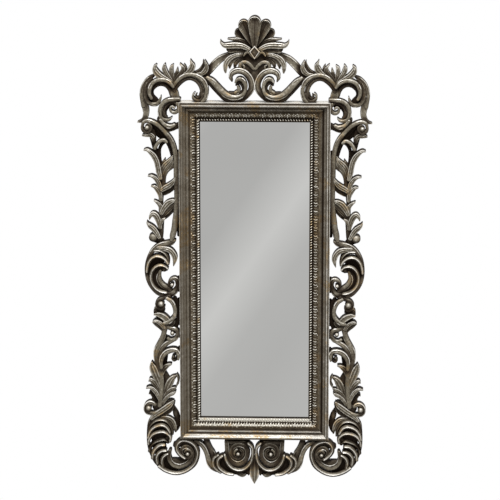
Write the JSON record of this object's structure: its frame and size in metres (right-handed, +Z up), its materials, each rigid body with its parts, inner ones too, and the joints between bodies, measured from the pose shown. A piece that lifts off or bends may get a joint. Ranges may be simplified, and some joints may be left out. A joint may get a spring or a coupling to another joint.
{
  "type": "wall mirror",
  "caption": "Tall wall mirror in a mitred moulding with a beaded slip, framed by pierced scroll and leaf carving in antique silver leaf, with hanging rings behind.",
  "frame": {"origin": "on the wall's plane, behind the middle of the glass", "axes": "+Z up, +X to the right as seen from the front, +Y into the wall; the glass faces -Y"},
  "size_m": [0.6998, 0.056, 1.4447],
  "materials": {
    "leafed_moulding": "antique silver leaf over wood, dark wash in the hollows",
    "leafed_slip": "antique silver leaf with bronze rub-through",
    "leafed_carving": "antique silver leaf over cast composition, dark wash in the hollows",
    "mirror_glass": "silvered float glass",
    "backing_card": "grey board",
    "backboard": "hardboard, smooth face out",
    "plated_steel": "bright zinc plate",
    "wall_pad": "matt moulded rubber",
    "dowel_wood": "plain beech"
  },
  "bodies": {
    "frame": {"rail_top": "leafed_moulding", "rail_bottom": "leafed_moulding", "rail_left": "leafed_moulding", "rail_right": "leafed_moulding", "bead_slip_top": "leafed_slip", "bead_slip_bottom": "leafed_slip", "bead_slip_left": "leafed_slip", "bead_slip_right": "leafed_slip", "mirror_glass": "mirror_glass", "backing_card": "backing_card", "backboard": "backboard", "turn_button_screws": "plated_steel", "hanger_plate_left": "plated_steel", "hanger_plate_right": "plated_steel", "hanger_screws": "plated_steel", "corner_plates": "plated_steel", "corner_plate_screws": "plated_steel", "wall_pads": "wall_pad", "carving_dowels": "dowel_wood", "crest_shell": "leafed_carving", "crest_leaves": "leafed_carving", "crest_scroll_left": "leafed_carving", "crest_scroll_right": "leafed_carving", "top_arch_left": "leafed_carving", "top_arch_right": "leafed_carving", "corner_volute_left": "leafed_carving", "corner_volute_right": "leafed_carving", "upper_spray_left": "leafed_carving", "upper_spray_right": "leafed_carving", "side_scroll_left": "leafed_carving", "side_scroll_right": "leafed_carving", "lower_spray_left": "leafed_carving", "lower_spray_right": "leafed_carving", "bottom_scroll_left": "leafed_carving", "bottom_scroll_right": "leafed_carving", "brace_left": "leafed_carving", "brace_right": "leafed_carving", "bottom_volute_left": "leafed_carving", "bottom_volute_right": "leafed_carving", "drop_leaf": "leafed_carving"},
    "button_1": {"turn_button_1": "plated_steel"},
    "button_2": {"turn_button_2": "plated_steel"},
    "button_3": {"turn_button_3": "plated_steel"},
    "button_4": {"turn_button_4": "plated_steel"},
    "button_5": {"turn_button_5": "plated_steel"},
    "button_6": {"turn_button_6": "plated_steel"},
    "button_7": {"turn_button_7": "plated_steel"},
    "button_8": {"turn_button_8": "plated_steel"},
    "ring_left": {"hanger_ring_left": "plated_steel"},
    "ring_right": {"hanger_ring_right": "plated_steel"}
  },
  "joints": [
    {"name": "turn_button_1_turn", "type": "hinge", "parent": "frame", "child": "button_1", "pos_m": [-0.212, -0.006, 0.37], "axis": [0, 1, 0], "continuous": true},
    {"name": "turn_button_2_turn", "type": "hinge", "parent": "frame", "child": "button_2", "pos_m": [-0.212, -0.006, 0], "axis": [0, 1, 0], "continuous": true},
    {"name": "turn_button_3_turn", "type": "hinge", "parent": "frame", "child": "button_3", "pos_m": [-0.212, -0.006, -0.37], "axis": [0, 1, 0], "continuous": true},
    {"name": "turn_button_4_turn", "type": "hinge", "parent": "frame", "child": "button_4", "pos_m": [0.212, -0.006, 0.37], "axis": [0, 1, 0], "continuous": true},
    {"name": "turn_button_5_turn", "type": "hinge", "parent": "frame", "child": "button_5", "pos_m": [0.212, -0.006, 0], "axis": [0, 1, 0], "continuous": true},
    {"name": "turn_button_6_turn", "type": "hinge", "parent": "frame", "child": "button_6", "pos_m": [0.212, -0.006, -0.37], "axis": [0, 1, 0], "continuous": true},
    {"name": "turn_button_7_turn", "type": "hinge", "parent": "frame", "child": "button_7", "pos_m": [0, -0.006, 0.508], "axis": [0, 1, 0], "continuous": true},
    {"name": "turn_button_8_turn", "type": "hinge", "parent": "frame", "child": "button_8", "pos_m": [0, -0.006, -0.508], "axis": [0, 1, 0], "continuous": true},
    {"name": "hanger_ring_left_swing", "type": "hinge", "parent": "frame", "child": "ring_left", "pos_m": [-0.214, -0.0042, 0.3], "axis": [-1, 0, 0], "range_deg": [0, 178]},
    {"name": "hanger_ring_right_swing", "type": "hinge", "parent": "frame", "child": "ring_right", "pos_m": [0.214, -0.0042, 0.3], "axis": [-1, 0, 0], "range_deg": [0, 178]}
  ]
}
